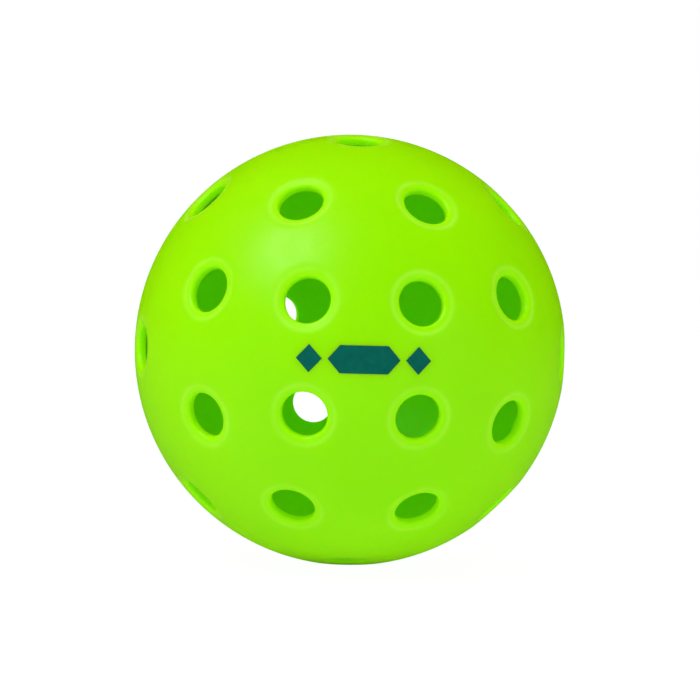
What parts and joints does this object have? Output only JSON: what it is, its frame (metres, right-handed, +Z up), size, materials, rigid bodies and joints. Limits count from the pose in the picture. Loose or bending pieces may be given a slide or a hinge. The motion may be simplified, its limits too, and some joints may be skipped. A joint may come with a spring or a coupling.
{
  "type": "pickleball ball",
  "caption": "Hollow perforated court ball of welded plastic half shells, with rings of round rolled-in holes and a small printed emblem.",
  "frame": {"origin": "centre of the ball", "axes": "+Y along the axis that the rings of holes turn about, away from the printed emblem, which faces -Y; +X along the emblem, as it reads; +Z up. The half shells meet in the plane Y = 0."},
  "size_m": [0.074, 0.0741, 0.074],
  "materials": {
    "shell": "satin yellow-green polyethylene, slightly translucent, glowing where light gets inside",
    "ink": "dark teal pad-printed ink"
  },
  "bodies": {
    "root": {"front_half_shell": "shell", "rear_half_shell": "shell", "weld_bead": "shell", "printed_emblem": "ink"}
  },
  "joints": []
}
